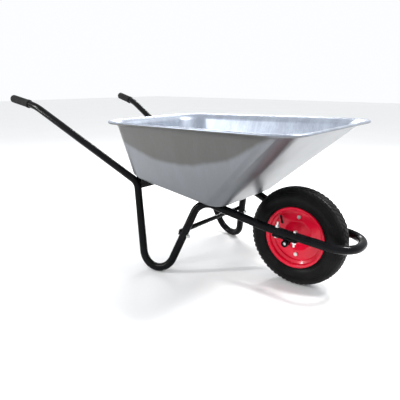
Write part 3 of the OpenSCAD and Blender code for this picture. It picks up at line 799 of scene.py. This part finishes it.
    def build(self) -> Piece:
        """Returns: the tyre."""
        casing = self._casing()
        self._ribs(casing)
        Bench.modify(casing, "SOLIDIFY", thickness=4.0 * MM, offset=-1.0, use_even_offset=False)
        tyre = Bench.join([casing, self._tread()], "treaded_tyre")
        Bench.settle(tyre, 35.0)
        return Piece(tyre, Body.WHEEL, "tyre_rubber", ("tyre",))


# ---------------------------------------------------------------- grips and welds


@dataclass
class Grip:
    """A moulded hand grip with a rounded end, a collar and fine flutes."""

    side: Side
    tube_end: Vector = field(default_factory=lambda: Vector((AXLE.x - 1.2976, 0.3173, 0.6318)))
    bend: Vector = field(default_factory=lambda: Vector((AXLE.x - 1.1577, 0.2929, 0.6024)))
    radius: float = 17.5 * MM
    length: float = 112 * MM
    cap: float = 6 * MM
    collar_w: float = 9 * MM
    collar_step: float = 1.2 * MM
    flutes: int = 24

    def build(self) -> Piece:
        """Returns: the grip."""
        name = f"grip_{self.side.name.lower()}"
        Bench.clear()
        bpy.ops.mesh.primitive_cylinder_add(vertices=self.flutes * 3, radius=self.radius, depth=self.length,
                                            location=(0.0, 0.0, 0.0))
        grip = bpy.context.object
        grip.name = f"{name}_moulded"
        half = self.length / 2
        bpy.ops.object.mode_set(mode="EDIT")
        for z in (-half + self.collar_w, -half + self.collar_w + 2 * MM, half - 24 * MM):
            bpy.ops.mesh.select_all(action="SELECT")
            bpy.ops.mesh.bisect(plane_co=(0.0, 0.0, z), plane_no=(0.0, 0.0, 1.0))
        Bench.pick("FACE", lambda p: p.z < -half + self.collar_w and p.z > -half + 0.1 * MM)
        bpy.ops.mesh.extrude_region_shrink_fatten(TRANSFORM_OT_shrink_fatten={"value": self.collar_step})
        self._cut_flutes(half)
        Bench.pick("EDGE", lambda p: p.z > half - 0.1 * MM)
        bpy.ops.mesh.bevel(offset=9.0 * MM, segments=7, profile=0.5, affect="EDGES", clamp_overlap=False)
        Bench.pick("EDGE", lambda p: p.z < -half + 0.1 * MM)
        bpy.ops.mesh.bevel(offset=1.0 * MM, segments=2, profile=0.5, affect="EDGES", clamp_overlap=False)
        bpy.ops.object.mode_set(mode="OBJECT")
        Bench.heal(grip)
        sign = self.side.value
        end = Vector((self.tube_end.x, sign * self.tube_end.y, self.tube_end.z))
        start = Vector((self.bend.x, sign * self.bend.y, self.bend.z))
        way = (end - start).normalized()
        middle = end + way * (self.cap - half)
        grip.matrix_world = Matrix.Translation(middle) @ way.to_track_quat("Z", "Y").to_matrix().to_4x4()
        bpy.context.view_layer.update()
        Bench.settle(grip, 50.0)
        return Piece(grip, Body.FRAME, "grip_rubber", (name,))

    def _cut_flutes(self, half: float) -> None:
        """Sinks every third strip between the collar and the end. Args: half half the grip's length."""
        low, high = -half + self.collar_w + 2 * MM, half - 24 * MM
        turn = 2 * pi / (self.flutes * 3)

        def in_flute(point: Vector) -> bool:
            """Returns: whether a face's middle lies in a flute."""
            index = round(atan2(point.y, point.x) / turn - 0.5)
            return low < point.z < high and index % 3 == 0

        Bench.pick("FACE", in_flute)
        bpy.ops.mesh.inset(thickness=0.25 * MM, depth=-0.4 * MM, use_individual=True)


@dataclass
class WeldRing:
    """A weld round a tube joint, a bead with the ripples of its passes."""

    at: Vector
    way: Vector
    tube_r: float
    name: str
    ripples: int = 44

    def build(self) -> Piece:
        """Returns: the weld."""
        Bench.clear()
        bpy.ops.mesh.primitive_torus_add(major_segments=self.ripples * 2, minor_segments=10,
                                         major_radius=self.tube_r, minor_radius=1.7 * MM)
        ring = bpy.context.object
        ring.name = self.name
        bpy.ops.object.mode_set(mode="EDIT")
        bpy.ops.mesh.select_all(action="DESELECT")
        step = 2 * pi / (self.ripples * 2)
        Bench.pick("VERT", lambda p: round(atan2(p.y, p.x) / step) % 2 == 0)
        bpy.ops.transform.resize(value=(1.018, 1.018, 1.25))
        bpy.ops.object.mode_set(mode="OBJECT")
        turn = self.way.normalized().to_track_quat("Z", "Y").to_matrix().to_4x4()
        ring.matrix_world = Matrix.Translation(self.at) @ turn
        bpy.context.view_layer.update()
        Bench.settle(ring, 60.0)
        return Piece(ring, Body.FRAME, "frame_paint")


# ---------------------------------------------------------------- finishes of the CAD nodes


@dataclass
class Wardrobe:
    """All the finishes, and which CAD node wears which."""

    black: bpy.types.Material = field(default_factory=lambda: GlossEnamel(
        (0.0025, 0.0025, 0.003), (0.006, 0.006, 0.007), 0.13).make("frame_black_enamel"))
    red: bpy.types.Material = field(default_factory=lambda: GlossEnamel(
        (0.74, 0.004, 0.036), (0.60, 0.003, 0.026), 0.20, 0.0004, 0.25, 0.25).make("rim_red_enamel"))
    grip: bpy.types.Material = field(default_factory=lambda: MouldedRubber().make("grip_moulding"))
    tube: bpy.types.Material = field(default_factory=lambda: MouldedRubber(
        (0.012, 0.012, 0.012), (0.022, 0.022, 0.022), 0.4).make("butyl_rubber"))
    tyre: bpy.types.Material = field(default_factory=lambda: TyreRubber().make())
    sheet: bpy.types.Material = field(default_factory=lambda: GalvanisedSheet().make())
    zinc: bpy.types.Material = field(default_factory=lambda: ZincPlate().make("zinc_plating"))
    steel: bpy.types.Material = field(default_factory=lambda: ZincPlate(
        (0.58, 0.59, 0.61), (0.50, 0.50, 0.50)).make("ground_bearing_steel"))

    def by_slot(self) -> dict[str, bpy.types.Material]:
        """Returns: the finish of each material slot of the record."""
        return {"galvanised_sheet": self.sheet, "frame_paint": self.black, "grip_rubber": self.grip,
                "rim_paint": self.red, "tyre_rubber": self.tyre, "tube_rubber": self.tube,
                "zinc_plate": self.zinc, "bearing_steel": self.steel}

    def dress(self, frame: dict[str, Any]) -> None:
        """Gives every CAD node its slot's finish."""
        finishes = self.by_slot()
        slots = {row["node"]: row["material_slot"] for row in frame["record"]["subparts"]}
        for name, node in frame["nodes"].items():
            finish = finishes[slots[name]]
            node.data.materials.clear()
            node.data.materials.append(finish)
            LOG.info("node %s wears %s", name, finish.name)


# ---------------------------------------------------------------- the studio


@dataclass
class Studio:
    """The floor, the lights and the camera."""

    eye: Vector = field(default_factory=lambda: Vector((1.12498, -1.2883, 0.7047)))
    azimuth: float = 0.6792
    elevation: float = 0.279
    roll: float = 0.0023
    lens: float = 36.87

    def floor(self) -> None:
        """The pale floor."""
        Bench.clear()
        bpy.ops.mesh.primitive_plane_add(size=30.0, location=(0.0, 0.0, 0.0))
        floor = bpy.context.object
        floor.name = "studio_floor"
        g = Graph("studio_floor")
        drift = g.noise(g.place(), 2.0, 3.0)
        colour = g.mix(drift, (0.84, 0.84, 0.84), (0.88, 0.88, 0.88))
        floor.data.materials.append(g.surface(Base_Color=colour, Roughness=0.6 + 0.1 * drift))
        Bench.clear()

    def camera(self) -> None:
        """The camera at the viewing angle of the reference view."""
        look = Vector((-sin(self.azimuth) * cos(self.elevation), cos(self.azimuth) * cos(self.elevation),
                       -sin(self.elevation)))
        right = look.cross(Vector((0.0, 0.0, 1.0))).normalized()
        above = right.cross(look)
        side = right * cos(self.roll) + above * sin(self.roll)
        top = above * cos(self.roll) - right * sin(self.roll)
        data = bpy.data.cameras.new("camera")
        data.lens = self.lens
        data.sensor_width = 36.0
        made = bpy.data.objects.new("camera", data)
        bpy.context.scene.collection.objects.link(made)
        turn = Matrix((side, top, -look)).transposed().to_4x4()
        made.matrix_world = Matrix.Translation(self.eye) @ turn
        bpy.context.scene.camera = made

    def light(self, name: str, place: Vector, aim: Vector, size: tuple[float, float], power: float) -> None:
        """One soft box.

        Args:
            name: its name.
            place, aim: where it stands and what it points at.
            size: its width and height.
            power: in watts.
        """
        data = bpy.data.lights.new(name, "AREA")
        data.shape = "RECTANGLE"
        data.size, data.size_y = size
        data.energy = power
        made = bpy.data.objects.new(name, data)
        bpy.context.scene.collection.objects.link(made)
        turn = (aim - place).to_track_quat("-Z", "Y").to_matrix().to_4x4()
        made.matrix_world = Matrix.Translation(place) @ turn

    def sky(self, strength: float) -> None:
        """The even fill. Args: strength of the background."""
        world = bpy.data.worlds.new("studio")
        world.use_nodes = True
        world.node_tree.nodes["Background"].inputs["Color"].default_value = (0.97, 0.985, 1.0, 1.0)
        world.node_tree.nodes["Background"].inputs["Strength"].default_value = strength
        bpy.context.scene.world = world

    def build(self) -> None:
        """Sets the studio up."""
        self.floor()
        self.camera()
        self.sky(1.0)
        bpy.context.scene.view_settings.view_transform = "Standard"
        middle = Vector((0.1, 0.0, 0.3))
        self.light("key", Vector((1.6, 0.6, 2.4)), middle, (0.5, 0.5), 90.0)
        self.light("rear_strip", Vector((-1.2, 2.0, 1.8)), middle, (1.6, 0.25), 40.0)
        self.light("left_strip", Vector((-1.6, -2.0, 1.5)), middle, (0.12, 1.6), 40.0)


def main() -> None:
    """Builds each sub-assembly in order, dresses it and reports it."""
    logging.basicConfig(level=logging.INFO, format="%(name)s: %(message)s")
    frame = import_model()
    finishes = Wardrobe()
    finishes.dress(frame)
    slots = finishes.by_slot()
    Studio().build()
    makers: list[Any] = [Tray(), Tyre(), Grip(Side.LEFT), Grip(Side.RIGHT)]
    for side in Side:
        at = Vector((HOOP_WELD.x, side.value * HOOP_WELD.y, HOOP_WELD.z))
        way = Vector((ARCH_TURN.x, side.value * ARCH_TURN.y, ARCH_TURN.z)) - at
        makers.append(WeldRing(at, way, FRAME_TUBE_R, f"hoop_weld_{side.name.lower()}"))
    for maker in makers:
        piece = maker.build()
        piece.declare(slots[piece.slot])


if __name__ == "__main__":
    main()
